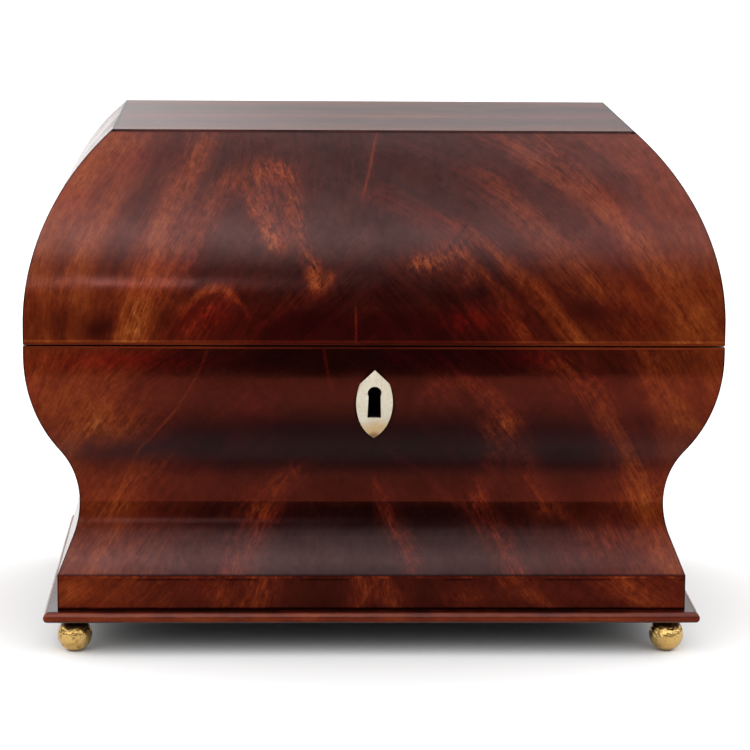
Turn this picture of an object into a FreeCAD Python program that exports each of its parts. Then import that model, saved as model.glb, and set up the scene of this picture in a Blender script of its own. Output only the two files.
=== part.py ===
"""An antique mahogany tea chest with a hinged lid, swollen (bombe) sides and four brass ball feet.

The chest is a shaped pine carcase under mahogany veneer, sawn apart at its widest line into a body
and a lid. Every side has one moulded section, mitred at the corners. Inside are two lidded tea
compartments with a glass mixing bowl between them. Millimetres, +Z up, front towards -Y, with the
origin on the table under the middle of the chest.
"""

import FreeCAD, Part

import os
from math import asin, cos, pi, radians, sin, sqrt, tan

V = FreeCAD.Vector

# Overall size, taken at the widest line, where the lid meets the body
width = 330.0
depth = 228.0

# Feet: turned brass balls on screw shanks
ball_radius = 8.3
worn_flat = 0.3
neck_height = 0.2
neck_radius = 4.2
foot_inset = 14.3
shank_radius = 1.8
shank_length = 15.0

# Base board with a rounded moulding mitred round it
base_thickness = 5.5
base_overhang = 6.6
moulding_width = 12.0

# Moulded section of the body, from the seam down: an upright band, a bulge, a hollow, a straight
# flare and the plinth
seam_to_bulge = 4.8
bulge_radius = 83.0
bulge_sweep = radians(35.9)
hollow_radius = 45.4
flare_radius = 43.8
flare_angle = radians(22.1)
flare_height = 17.63
plinth_height = 16.9

# Moulded section of the lid, from the seam up
lid_height = 97.5
seam_to_crown = 9.6
crown_radius = 115.6
cove_wall = 16.0
panel_thickness = 10.0
panel_rebate = 5.0

# Skins and gaps
veneer = 1.0
facing = 1.0
seam_gap = 0.8
waist_wall = 11.0

# Interior
bottom_thickness = 8.0
partition_thickness = 6.0
housing_depth = 2.0
fitting_drop = 10.7
fitting_thickness = 6.0
ledge_width = 5.0
ledge_height = 6.0
lid_clearance = 0.4
foil = 0.5
lining = 0.4

# Glass mixing bowl, which narrows from its rim to its foot in one long curve
bowl_hole_clearance = 0.5
bowl_radius = 43.0
collar_margin = 13.0
bowl_curve = 155.0
bowl_rim_width = 4.0
bowl_rim_height = 3.5
bowl_height = 78.0
bowl_wall = 3.0
bowl_floor = 6.0
bowl_foot_width = 6.0
bowl_foot_recess = 2.0

# Turned bone knobs on the compartment lids
knob_radius = 6.0
knob_height = 9.5
knob_crown = 8.0
knob_under_bulge = 0.9
knob_neck_radius = 2.2
knob_neck_height = 3.2
knob_foot_radius = 4.4
knob_foot_height = 1.1
knob_stem_radius = 1.5

# Bone escutcheon, let into the veneer, and its keyhole
escutcheon_tip = 11.1
escutcheon_height = 34.7
escutcheon_half_width = 8.65
escutcheon_depth = 1.8
escutcheon_proud = 0.15
shoulder_drop = 6.6
shoulder_half = 6.9
heel_rise = 7.5
heel_half = 6.4
toe_half = 3.8
toe_rise = 3.4
keyhole_round_drop = 22.5
keyhole_round_radius = 3.3
keyhole_slot_top_half = 2.8
keyhole_slot_foot_half = 3.25
keyhole_slot_length = 12.6

# Brass box lock, let into the front wall from inside
lock_half = 25.0
lock_drop = 40.0
lock_plate = 1.6
lock_selvedge_depth = 13.4
case_half = 19.0
case_depth = 12.4
case_wall = 1.2
case_drop = 37.0
drill_pin_radius = 1.4
drill_pin_reach = 4.0
fit_gap = 0.2

# Lock bolt, which slides along X through the eye of the lid's staple
bolt_thickness = 3.0
bolt_top = 5.6
bolt_height = 9.0
bolt_tail = -15.5
bolt_shoulder = 1.5
bolt_nose = 8.5
nose_height = 4.0
nose_drop = 0.5
bolt_travel = 6.0
talon_start = -6.5
talon_width = 7.0
talon_height = 4.3
tail_guide_drop = 3.0
tail_ledge = 2.0
spring_thickness = 0.5
spring_width = 2.6
spring_margin = 1.0

# Link plate and staple on the lid
link_half = 25.0
link_depth = 11.5
link_thickness = 1.4
staple_start = 9.5
staple_thickness = 3.0
staple_half_width = 3.5
staple_reach = 12.4
tenon_half_width = 2.5
eye_margin = 0.5
slot_clearance = 0.6

# Stopped butt hinges
hinge_offset = 95.0
hinge_length = 38.0
hinge_leaf_depth = 14.0
hinge_leaf = 1.2
barrel_radius = 2.2
barrel_proud = 1.0
barrel_clearance = 0.4
leaf_clearance = 0.3
pin_radius = 1.1
pin_clearance = 0.05
knuckles = 5
knuckle_gap = 0.15
open_angle = radians(100.0)
stop_reach = 4.6
stop_thickness = 1.1
stop_gap = 0.04

# Countersunk brass screws
screw_head_radius = 2.2
screw_head_height = 1.2
screw_radius = 1.1
screw_length = 9.0
screw_slot_width = 0.6
screw_slot_depth = 0.5
lock_screw_x = 22.0
hinge_screw_pitch = 12.5
hinge_screw_stagger = 2.2

# Heights and half sizes that follow from the sizes above
half_width = width / 2
half_depth = depth / 2
side_shift = half_width - half_depth
base_bottom = 2 * ball_radius - worn_flat + neck_height
base_top = base_bottom + base_thickness
plinth_top = base_top + plinth_height
waist_z = plinth_top + flare_height + flare_radius * sin(flare_angle)
bulge_z = waist_z + (hollow_radius + bulge_radius) * sin(bulge_sweep)
seam = bulge_z + seam_to_bulge
body_rim = seam - seam_gap / 2
lid_rim = seam + seam_gap / 2
top = seam + lid_height
crown_z = seam + seam_to_crown
core_top = top - veneer
panel_bottom = core_top - panel_thickness
reach = 2 * width

bulge_centre = V(half_width - bulge_radius, 0, bulge_z)
hollow_centre = V(bulge_centre.x + (bulge_radius + hollow_radius) * cos(bulge_sweep), 0, waist_z)
waist_half = hollow_centre.x - hollow_radius
flare_centre = V(waist_half + flare_radius, 0, waist_z)
crown_centre = V(half_width - crown_radius, 0, crown_z)
inner = waist_half - waist_wall

flare_start = flare_centre.x - flare_radius * cos(flare_angle)
plinth_half = flare_start + flare_height * tan(flare_angle)
base_half = plinth_half + base_overhang

well_bottom = base_top + bottom_thickness
fitting_top = body_rim - fitting_drop
fitting_bottom = fitting_top - fitting_thickness
bowl_well_half = bowl_radius + collar_margin
partition_outer = bowl_well_half + partition_thickness

hinge_axis_y = half_depth + barrel_proud

lock_back = -(inner - side_shift)
keyhole_z = body_rim - keyhole_round_drop
case_front = lock_back - case_depth
bolt_y = (case_front + case_wall + lock_back - lock_plate) / 2


def box(x0, x1, y0, y1, z0, z1):
    """A block between two corners."""
    return Part.makeBox(x1 - x0, y1 - y0, z1 - z0, V(x0, y0, z0))


def rod(start, direction, radius, length):
    """A round bar from a point along a direction."""
    return Part.makeCylinder(radius, length, start, direction)


def section(edges):
    """A flat face inside a closed run of edges."""
    return Part.Face(Part.Wire(Part.__sortEdges__(edges)))


def polygon(points):
    """A flat face through corners listed in order."""
    return Part.Face(Part.makePolygon(list(points) + [points[0]]))


def line(a, b):
    return Part.LineSegment(a, b).toShape()


def path_edges(points):
    """Straight edges from each point to the next."""
    return [line(a, b) for a, b in zip(points, points[1:])]


def arc(centre, radius, start, end):
    """An arc in the section plane, between two angles counted from +X towards +Z."""
    at = [centre + V(cos(t), 0, sin(t)) * radius for t in (start, (start + end) / 2, end)]
    return Part.Arc(*at).toShape()


def mitre_prism(side):
    """The ground that one side of the chest covers, between its two 45 degree mitres."""
    s = side_shift
    far = {
        "front": [V(-s, 0), V(s, 0), V(s + reach, -reach), V(-s - reach, -reach)],
        "back": [V(-s, 0), V(s, 0), V(s + reach, reach), V(-s - reach, reach)],
        "left": [V(-s, 0), V(-s - reach, -reach), V(-s - reach, reach)],
        "right": [V(s, 0), V(s + reach, -reach), V(s + reach, reach)],
    }[side]
    return polygon(far).extrude(V(0, 0, reach))


def run_round(face, side):
    """Sweeps a section, drawn outwards along +X, along one side of the chest and mitres its ends."""
    turned = face.copy()
    if side in ("front", "back"):
        turned.rotate(V(0, 0, 0), V(0, 0, 1), -90 if side == "front" else 90)
        outward = V(0, side_shift if side == "front" else -side_shift, 0)
        turned.translate(outward + V(-reach, 0, 0))
        swept = turned.extrude(V(2 * reach, 0, 0))
    else:
        turned.rotate(V(0, 0, 0), V(0, 0, 1), 180 if side == "left" else 0)
        turned.translate(V(0, -reach, 0))
        swept = turned.extrude(V(0, 2 * reach, 0))
    return swept.common(mitre_prism(side))


SIDES = ("front", "back", "left", "right")


def flare_top(inset):
    """Where the hollow ends and the straight flare begins, set in by a skin's thickness."""
    return flare_centre + V(-cos(flare_angle), 0, -sin(flare_angle)) * (flare_radius + inset)


def plinth_corner(inset):
    """Where the straight flare meets the plinth's upright face, set in by a skin's thickness."""
    start, out = flare_top(inset), plinth_half - inset
    return V(out, 0, start.z - (out - start.x) / tan(flare_angle))


def body_outline(inset, rim):
    """Edges of the body's moulded face from the rim to the plinth's top corner."""
    bulge = arc(bulge_centre, bulge_radius - inset, 0, -bulge_sweep)
    hollow = arc(hollow_centre, hollow_radius + inset, pi - bulge_sweep, pi)
    flare = arc(flare_centre, flare_radius + inset, pi, pi + flare_angle)
    upright = line(V(half_width - inset, 0, rim), V(half_width - inset, 0, bulge_z))
    straight = line(flare_top(inset), plinth_corner(inset))
    return [upright, bulge, hollow, flare, straight]


def body_wall_section():
    """Core of a body wall: moulded outside, upright inside."""
    rim = body_rim - facing
    path = [plinth_corner(veneer), V(plinth_half - veneer, 0, base_top), V(inner, 0, base_top),
            V(inner, 0, rim), V(half_width - veneer, 0, rim)]
    return section(body_outline(veneer, rim) + path_edges(path))


def body_veneer_section():
    rim = body_rim - facing
    top_edge = line(V(half_width, 0, rim), V(half_width - veneer, 0, rim))
    foot_edge = line(plinth_corner(0), plinth_corner(veneer))
    return section(body_outline(0, rim) + body_outline(veneer, rim) + [top_edge, foot_edge])


def plinth_veneer_section():
    """The band below the flare, cut off where the flare's own skin meets it."""
    return polygon([plinth_corner(0), V(plinth_half, 0, base_top),
                    V(plinth_half - veneer, 0, base_top), plinth_corner(veneer)])


def crown_arc(inset, from_z, to_z):
    """The lid's curve, set in by an inset, between two heights."""
    radius = crown_radius - inset
    angles = [asin((z - crown_z) / radius) for z in (from_z, to_z)]
    return arc(crown_centre, radius, *angles)


def crown_at(inset, z):
    """How far out the lid's curve lies at a height."""
    return crown_centre.x + sqrt((crown_radius - inset) ** 2 - (z - crown_z) ** 2)


def cove_head():
    """How far out the cove reaches where it meets the top panel."""
    return crown_at(cove_wall, panel_bottom)


def lid_wall_section():
    """Core of a lid wall: crowned outside, upright inside with a cove under the top panel."""
    rim = lid_rim + facing
    cove_foot = crown_z + sqrt((crown_radius - cove_wall) ** 2 - (inner - crown_centre.x) ** 2)
    panel_half = cove_head() + panel_rebate
    outside = [V(half_width - veneer, 0, crown_z), V(half_width - veneer, 0, rim),
               V(inner, 0, rim), V(inner, 0, cove_foot)]
    rebate = [V(cove_head(), 0, panel_bottom), V(panel_half, 0, panel_bottom),
              V(panel_half, 0, core_top), V(crown_at(veneer, core_top), 0, core_top)]
    curves = [crown_arc(veneer, crown_z, core_top), crown_arc(cove_wall, cove_foot, panel_bottom)]
    return section(path_edges(outside) + path_edges(rebate) + curves)


def lid_veneer_section():
    rim = lid_rim + facing
    low = [V(half_width, 0, crown_z), V(half_width, 0, rim),
           V(half_width - veneer, 0, rim), V(half_width - veneer, 0, crown_z)]
    high = line(V(crown_at(0, core_top), 0, core_top), V(crown_at(veneer, core_top), 0, core_top))
    curves = [crown_arc(0, crown_z, core_top), crown_arc(veneer, crown_z, core_top)]
    return section(path_edges(low) + curves + [high])


def facing_section(z0):
    """The flat strip that covers a rim, from the well to the outer face."""
    return polygon([V(inner, 0, z0), V(half_width, 0, z0),
                    V(half_width, 0, z0 + facing), V(inner, 0, z0 + facing)])


def moulding_section():
    """Base moulding with a half-round nose."""
    nose = base_thickness / 2
    back, front = base_half - moulding_width, base_half - nose
    return section([
        line(V(back, 0, base_bottom), V(front, 0, base_bottom)),
        arc(V(front, 0, base_bottom + nose), nose, -pi / 2, pi / 2),
        line(V(front, 0, base_top), V(back, 0, base_top)),
        line(V(back, 0, base_top), V(back, 0, base_bottom)),
    ])


def plate(half_x, half_y, z0, z1):
    """A board centred on the chest."""
    return box(-half_x, half_x, -half_y, half_y, z0, z1)


def screw_room(at, axis):
    """The countersunk hole that a screw fills, from the plane of its head."""
    down = V(*axis)
    head = Part.makeCone(screw_head_radius, screw_radius, screw_head_height, at, down)
    return head.fuse(rod(at, down, screw_radius, screw_length)).removeSplitter()


def screw(at, axis):
    """A countersunk screw with a slotted head."""
    down = V(*axis)
    wide, thin, deep = 3 * screw_head_radius, screw_slot_width, 2 * screw_slot_depth
    size = V(wide, thin, deep) if abs(down.z) else V(wide, deep, thin)
    slot = Part.makeBox(size.x, size.y, size.z, at - size / 2)
    return screw_room(at, axis).cut(slot)


# Feet and base

def foot_places():
    x, y = base_half - foot_inset, base_half - side_shift - foot_inset
    return {"front_left": V(-x, -y, 0), "front_right": V(x, -y, 0),
            "back_left": V(-x, y, 0), "back_right": V(x, y, 0)}


def ball_foot(place):
    """A brass ball with a small worn flat, a neck under the base and a screw shank."""
    centre = place + V(0, 0, ball_radius - worn_flat)
    ball = Part.makeSphere(ball_radius, centre)
    ball = ball.cut(box(place.x - reach, place.x + reach, place.y - reach, place.y + reach,
                        -reach, 0))
    neck_from = place + V(0, 0, base_bottom - ball_radius / 2)
    neck = rod(neck_from, V(0, 0, 1), neck_radius, base_bottom - neck_from.z)
    shank = rod(place + V(0, 0, base_bottom - 1), V(0, 0, 1), shank_radius, shank_length + 1)
    return ball.fuse(neck).fuse(shank).removeSplitter()


def shank_holes():
    """Holes for all four foot shanks, through the base and into the walls."""
    return [rod(p + V(0, 0, base_bottom), V(0, 0, 1), shank_radius, shank_length)
            for p in foot_places().values()]


def cut_all(shape, tools):
    for tool in tools:
        shape = shape.cut(tool)
    return shape


# Lock

def keyhole(y0, y1):
    """The keyhole's outline, driven from one depth to another."""
    round_part = rod(V(0, y0, keyhole_z), V(0, 1, 0), keyhole_round_radius, y1 - y0)
    foot = keyhole_z - keyhole_slot_length
    slot = polygon([V(-keyhole_slot_top_half, y0, keyhole_z), V(keyhole_slot_top_half, y0, keyhole_z),
                    V(keyhole_slot_foot_half, y0, foot), V(-keyhole_slot_foot_half, y0, foot)])
    return round_part.fuse(slot.extrude(V(0, y1 - y0, 0)))


def lock_outline():
    """The room that the lock takes in the front wall: back plate, selvedge and case."""
    back = box(-lock_half, lock_half, lock_back - lock_plate, lock_back, body_rim - lock_drop, body_rim)
    lip = box(-lock_half, lock_half, lock_back - lock_selvedge_depth, lock_back,
              body_rim - lock_plate, body_rim)
    case = box(-case_half, case_half, case_front, lock_back, body_rim - case_drop, body_rim)
    return back, lip, case


def staple_place(clearance):
    """The block that the staple fills below the lid's rim, grown by a clearance."""
    y0, y1 = bolt_y - staple_half_width - clearance, bolt_y + staple_half_width + clearance
    return box(staple_start - clearance, staple_start + staple_thickness + clearance, y0, y1,
               lid_rim - staple_reach, lid_rim)


def staple_tenon():
    """The part of the staple that is riveted through the link plate."""
    return box(staple_start, staple_start + staple_thickness, bolt_y - tenon_half_width,
               bolt_y + tenon_half_width, lid_rim, lid_rim + link_thickness)


def bolt_nose_box(grow, x0, x1):
    """The bolt's nose, or with a margin the eye that it enters."""
    z1 = body_rim - bolt_top - nose_drop
    half = bolt_thickness / 2
    return box(x0, x1, bolt_y - half - grow, bolt_y + half + grow,
               z1 - nose_height - grow, z1 + grow)


def lock_screws():
    low = body_rim - lock_drop + 2 * screw_head_radius
    rim_y = lock_back - lock_selvedge_depth / 2
    places = [(V(s * lock_screw_x, rim_y, body_rim), (0, 0, -1)) for s in (-1, 1)]
    return places + [(V(s * lock_screw_x, lock_back, low), (0, -1, 0)) for s in (-1, 1)]


def lock_case():
    """Back plate, selvedge and hollow case in one brass box, with bolt guides and drill pin."""
    back, lip, case = lock_outline()
    room = box(-case_half + case_wall, case_half - case_wall, case_front + case_wall,
               lock_back - lock_plate, body_rim - case_drop + case_wall, body_rim - lock_plate)
    shell = back.fuse(lip).fuse(case).cut(room)
    half = bolt_thickness / 2
    bolt_foot = body_rim - bolt_top - bolt_height
    tail_end, guide_end = -case_half + case_wall, bolt_tail + bolt_travel
    ledge_top = bolt_foot - fit_gap
    behind = box(tail_end, guide_end, bolt_y + half + fit_gap, lock_back - lock_plate,
                 ledge_top - tail_guide_drop, body_rim - bolt_top)
    under = box(tail_end, guide_end, case_front + case_wall, lock_back - lock_plate,
                ledge_top - tail_ledge, ledge_top)
    shell = shell.fuse(behind).fuse(under)
    pin_length = lock_back - lock_plate - case_front + drill_pin_reach
    pin = rod(V(0, lock_back - lock_plate, keyhole_z), V(0, -1, 0), drill_pin_radius, pin_length)
    shell = shell.cut(keyhole(case_front - 1, case_front + case_wall + 1)).fuse(pin)
    shell = shell.cut(staple_place(slot_clearance).common(room.fuse(lip)))
    return cut_all(shell.removeSplitter(), [screw_room(*s) for s in lock_screws()])


def lock_bolt():
    """Sliding bolt with a talon notch for the key and a narrow nose."""
    z1 = body_rim - bolt_top
    z0 = z1 - bolt_height
    half = bolt_thickness / 2
    bar = box(bolt_tail, bolt_shoulder, bolt_y - half, bolt_y + half, z0, z1)
    talon = box(talon_start, talon_start + talon_width, bolt_y - reach, bolt_y + reach,
                z0 - reach, z0 + talon_height)
    return bar.cut(talon).fuse(bolt_nose_box(0, bolt_shoulder, bolt_nose)).removeSplitter()


def lock_spring():
    """Bowed leaf on the bolt's back that presses under the selvedge."""
    foot = body_rim - bolt_top
    crest = body_rim - lock_plate - fit_gap
    x0, x1 = bolt_tail + spring_margin, bolt_shoulder - spring_margin
    mid = (x0 + x1) / 2
    t = spring_thickness
    outer = Part.Arc(V(x0, 0, foot), V(mid, 0, crest), V(x1, 0, foot)).toShape()
    under = Part.Arc(V(x0 + 2 * t, 0, foot), V(mid, 0, crest - t), V(x1 - 2 * t, 0, foot)).toShape()
    face = section([outer, under, line(V(x0, 0, foot), V(x0 + 2 * t, 0, foot)),
                    line(V(x1 - 2 * t, 0, foot), V(x1, 0, foot))])
    face.translate(V(0, bolt_y - spring_width / 2, 0))
    return face.extrude(V(0, spring_width, 0))


def link_screws():
    return [(V(s * lock_screw_x, bolt_y, lid_rim), (0, 0, 1)) for s in (-1, 1)]


def link_plate_block():
    return box(-link_half, link_half, bolt_y - link_depth / 2, bolt_y + link_depth / 2,
               lid_rim, lid_rim + link_thickness)


def link_plate():
    """Plate under the lid, and the staple riveted into it that drops into the lock."""
    plate = cut_all(link_plate_block(), [staple_tenon()] + [screw_room(*s) for s in link_screws()])
    eye = bolt_nose_box(eye_margin, staple_start - reach, staple_start + staple_thickness + reach)
    staple = staple_place(0).fuse(staple_tenon()).removeSplitter().cut(eye)
    return Part.makeCompound([plate, staple])


# Escutcheon

def escutcheon_face(y):
    """Outline of the shield, seen from the front."""
    tip_z = body_rim - escutcheon_tip
    toe_z = tip_z - escutcheon_height
    shoulder_z, heel_z = tip_z - shoulder_drop, toe_z + heel_rise
    mid_z = (shoulder_z + heel_z) / 2

    def half(s):
        tip, toe = V(0, y, tip_z), V(0, y, toe_z)
        shoulder, heel = V(s * shoulder_half, y, shoulder_z), V(s * heel_half, y, heel_z)
        belly = V(s * escutcheon_half_width, y, mid_z)
        curve = V(s * toe_half, y, toe_z + toe_rise)
        return [line(tip, shoulder), Part.Arc(shoulder, belly, heel).toShape(),
                Part.Arc(heel, curve, toe).toShape()]

    return section(half(1) + half(-1))


def bulge_bar(radius):
    """A bar along X whose front follows the bulge of the front face."""
    centre = V(-reach / 2, -(bulge_centre.x - side_shift), bulge_z)
    return rod(centre, V(1, 0, 0), radius, reach)


def escutcheon_blank():
    outline = escutcheon_face(-half_depth - 1).extrude(V(0, half_depth / 2, 0))
    ring = bulge_bar(bulge_radius + escutcheon_proud).cut(bulge_bar(bulge_radius - escutcheon_depth))
    return outline.common(ring)


# Hinges

def barrel(side, wall, radius=barrel_radius, grow=0.0):
    """Knuckle tubes of one leaf: wall 0 is the body's leaf, with three knuckles, and 1 the lid's."""
    pitch = hinge_length / knuckles
    x0 = side * hinge_offset - hinge_length / 2
    tubes = []
    for i in range(knuckles):
        if i % 2 == wall:
            start = x0 + i * pitch + knuckle_gap / 2 - grow
            tubes.append(rod(V(start, hinge_axis_y, seam), V(1, 0, 0), radius,
                             pitch - knuckle_gap + 2 * grow))
    return tubes


def leaf_plate(side, wall):
    x0 = side * hinge_offset - hinge_length / 2
    z0 = body_rim - hinge_leaf if wall == 0 else lid_rim
    return box(x0, x0 + hinge_length, half_depth - hinge_leaf_depth, hinge_axis_y, z0, z0 + hinge_leaf)


def stop_tail(side, wall):
    """Flange behind the barrel. It joins its own knuckles and passes clear of the other leaf's, and
    the two flanges meet face to face when the lid stands fully open."""
    x0 = side * hinge_offset - hinge_length / 2
    near = stop_gap / 2 if wall else -stop_gap / 2 - stop_thickness
    flange = box(x0, x0 + hinge_length, 0, stop_reach, near, near + stop_thickness)
    turn = open_angle / 2 if wall else -open_angle / 2
    flange.rotate(V(0, 0, 0), V(1, 0, 0), turn * 180 / pi)
    flange.translate(V(0, hinge_axis_y, seam))
    return flange


def hinge_screws(side, wall):
    z, axis = (body_rim, (0, 0, -1)) if wall == 0 else (lid_rim, (0, 0, 1))
    row = half_depth - hinge_leaf_depth / 2 - barrel_radius / 2
    return [(V(side * hinge_offset + i * hinge_screw_pitch,
               row + (hinge_screw_stagger if i == 0 else -hinge_screw_stagger), z), axis)
            for i in (-1, 0, 1)]


def hinge_leaf_part(side, wall):
    """A leaf with its knuckles and stop tails, bored for the pin and countersunk for screws."""
    clear = barrel(side, 1 - wall, barrel_radius + leaf_clearance, knuckle_gap)
    made = cut_all(leaf_plate(side, wall).fuse(stop_tail(side, wall)), clear)
    for tube in barrel(side, wall):
        made = made.fuse(tube)
    bore = pin_radius if wall == 0 else pin_radius + pin_clearance
    hole = rod(V(side * hinge_offset - hinge_length, hinge_axis_y, seam), V(1, 0, 0), bore,
               2 * hinge_length)
    made = made.removeSplitter().cut(hole)
    return cut_all(made, [screw_room(*s) for s in hinge_screws(side, wall)])


def hinge_pin(side):
    return rod(V(side * hinge_offset - hinge_length / 2, hinge_axis_y, seam), V(1, 0, 0),
               pin_radius, hinge_length)


def hinge_recesses(wall):
    """What is cut from a wall, its facing and its back veneer for both hinges."""
    tools = []
    for side in (-1, 1):
        x0 = side * hinge_offset - hinge_length / 2
        room = rod(V(x0 - knuckle_gap, hinge_axis_y, seam), V(1, 0, 0),
                   barrel_radius + barrel_clearance, hinge_length + 2 * knuckle_gap)
        tools += [leaf_plate(side, wall), room]
        tools += [screw_room(*s) for s in hinge_screws(side, wall)]
    return tools


# Glass bowl and compartment fittings

def glass_bowl():
    """Mixing bowl that hangs by its rim in the collar board."""
    rim_top = fitting_top + bowl_rim_height
    foot = rim_top - bowl_height
    floor = foot + bowl_floor
    nose = bowl_rim_height / 2
    centre = V(bowl_radius - bowl_curve, 0, fitting_top)

    def out_at(radius, z):
        return V(centre.x + sqrt(radius ** 2 - (z - centre.z) ** 2), 0, z)

    inside = bowl_curve - bowl_wall
    foot_edge, floor_edge = out_at(bowl_curve, foot), out_at(inside, floor)
    outer = arc(centre, bowl_curve, asin((foot - centre.z) / bowl_curve), 0)
    inner_wall = arc(centre, inside, asin((floor - centre.z) / inside), 0)
    lip = V(bowl_radius + bowl_rim_width - nose, 0, fitting_top + nose)
    recess = V(0, 0, foot + bowl_foot_recess)
    foot_inside = V(foot_edge.x - bowl_foot_width, 0, foot)
    mouth = V(bowl_radius - bowl_wall, 0, rim_top)
    runs = [
        (V(bowl_radius, 0, fitting_top), lip - V(0, 0, nose)),
        (lip + V(0, 0, nose), mouth),
        (mouth, V(bowl_radius - bowl_wall, 0, fitting_top)),
        (floor_edge, V(0, 0, floor)),
        (V(0, 0, floor), recess),
        (recess, foot_inside),
        (foot_inside, foot_edge),
    ]
    rim = arc(lip, nose, -pi / 2, pi / 2)
    edges = [line(a, b) for a, b in runs] + [outer, inner_wall, rim]
    return section(edges).revolve(V(0, 0, 0), V(0, 0, 1), 360)


def collar_board():
    """Board between the partitions with a round hole for the bowl."""
    y = inner - side_shift
    board = plate(bowl_well_half, y, fitting_bottom, fitting_top)
    return board.cut(rod(V(0, 0, fitting_bottom - 1), V(0, 0, 1), bowl_radius + bowl_hole_clearance,
                         fitting_thickness + 2))


def partition(side):
    """Upright board between a tea compartment and the bowl well, housed in the front and back walls."""
    y = inner - side_shift + housing_depth
    x0, x1 = sorted((side * bowl_well_half, side * partition_outer))
    return box(x0, x1, -y, y, well_bottom, fitting_top)


def ledges():
    """Strips that carry the compartment lids and the collar board."""
    y = inner - side_shift
    low, high = fitting_bottom - ledge_height, fitting_bottom
    strips = []
    for side in (-1, 1):
        a, b = sorted((side * partition_outer, side * inner))
        strips += [box(a, b, y - ledge_width, y, low, high), box(a, b, -y, -y + ledge_width, low, high)]
        a, b = sorted((side * bowl_well_half, side * (bowl_well_half - ledge_width)))
        strips.append(box(a, b, -y, y, low, high))
    return Part.makeCompound(strips)


def compartment_lid(side):
    """Loose lid of a tea compartment, with a hole for its knob's stem."""
    y = inner - side_shift - lid_clearance
    a, b = sorted((side * (partition_outer + lid_clearance), side * (inner - lid_clearance)))
    board = box(a, b, -y, y, fitting_bottom, fitting_top)
    at = V((a + b) / 2, 0, fitting_bottom)
    return board.cut(rod(at, V(0, 0, 1), knob_stem_radius, fitting_thickness))


def knob(side):
    """Turned bone knob with its stem through the lid."""
    crown_drop = knob_crown - sqrt(knob_crown ** 2 - knob_radius ** 2)
    brim = V(knob_radius, 0, knob_height - crown_drop)
    neck = V(knob_neck_radius, 0, knob_neck_height)
    under = (brim + neck) / 2 + V(knob_under_bulge, 0, -knob_under_bulge)
    dome = V(0, 0, knob_height - knob_crown)
    crown = arc(dome, knob_crown, asin((brim.z - dome.z) / knob_crown), pi / 2)
    path = [neck, V(knob_neck_radius, 0, knob_foot_height), V(knob_foot_radius, 0, knob_foot_height),
            V(knob_foot_radius, 0, 0), V(knob_stem_radius, 0, 0),
            V(knob_stem_radius, 0, -fitting_thickness), V(0, 0, -fitting_thickness), V(0, 0, knob_height)]
    curves = [crown, Part.Arc(brim, under, neck).toShape()]
    made = section(path_edges(path) + curves).revolve(V(0, 0, 0), V(0, 0, 1), 360)
    made.translate(V(side * (partition_outer + inner) / 2, 0, fitting_top))
    return made


def foil_lining(side):
    """Tea foil on the floor and walls of a compartment, up to the ledges."""
    y = inner - side_shift
    a, b = sorted((side * partition_outer, side * inner))
    high = fitting_bottom - ledge_height
    outer = box(a, b, -y, y, well_bottom, high)
    return outer.cut(box(a + foil, b - foil, -y + foil, y - foil, well_bottom + foil, high + 1))


# Assembly of the shells

def lid_top_veneer():
    """Top leaf, whose edges go on along the lid's curve."""
    def ring(z):
        x = crown_at(0, z)
        y = x - side_shift
        return Part.makePolygon([V(-x, -y, z), V(x, -y, z), V(x, y, z), V(-x, y, z), V(-x, -y, z)])
    return Part.makeLoft([ring(core_top), ring(top)], True, True)


def leaf_halves(shape):
    """A front veneer split at its middle into two book-matched leaves."""
    left = shape.common(box(-reach, 0, -reach, reach, 0, reach))
    return left, shape.common(box(0, reach, -reach, reach, 0, reach))


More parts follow.
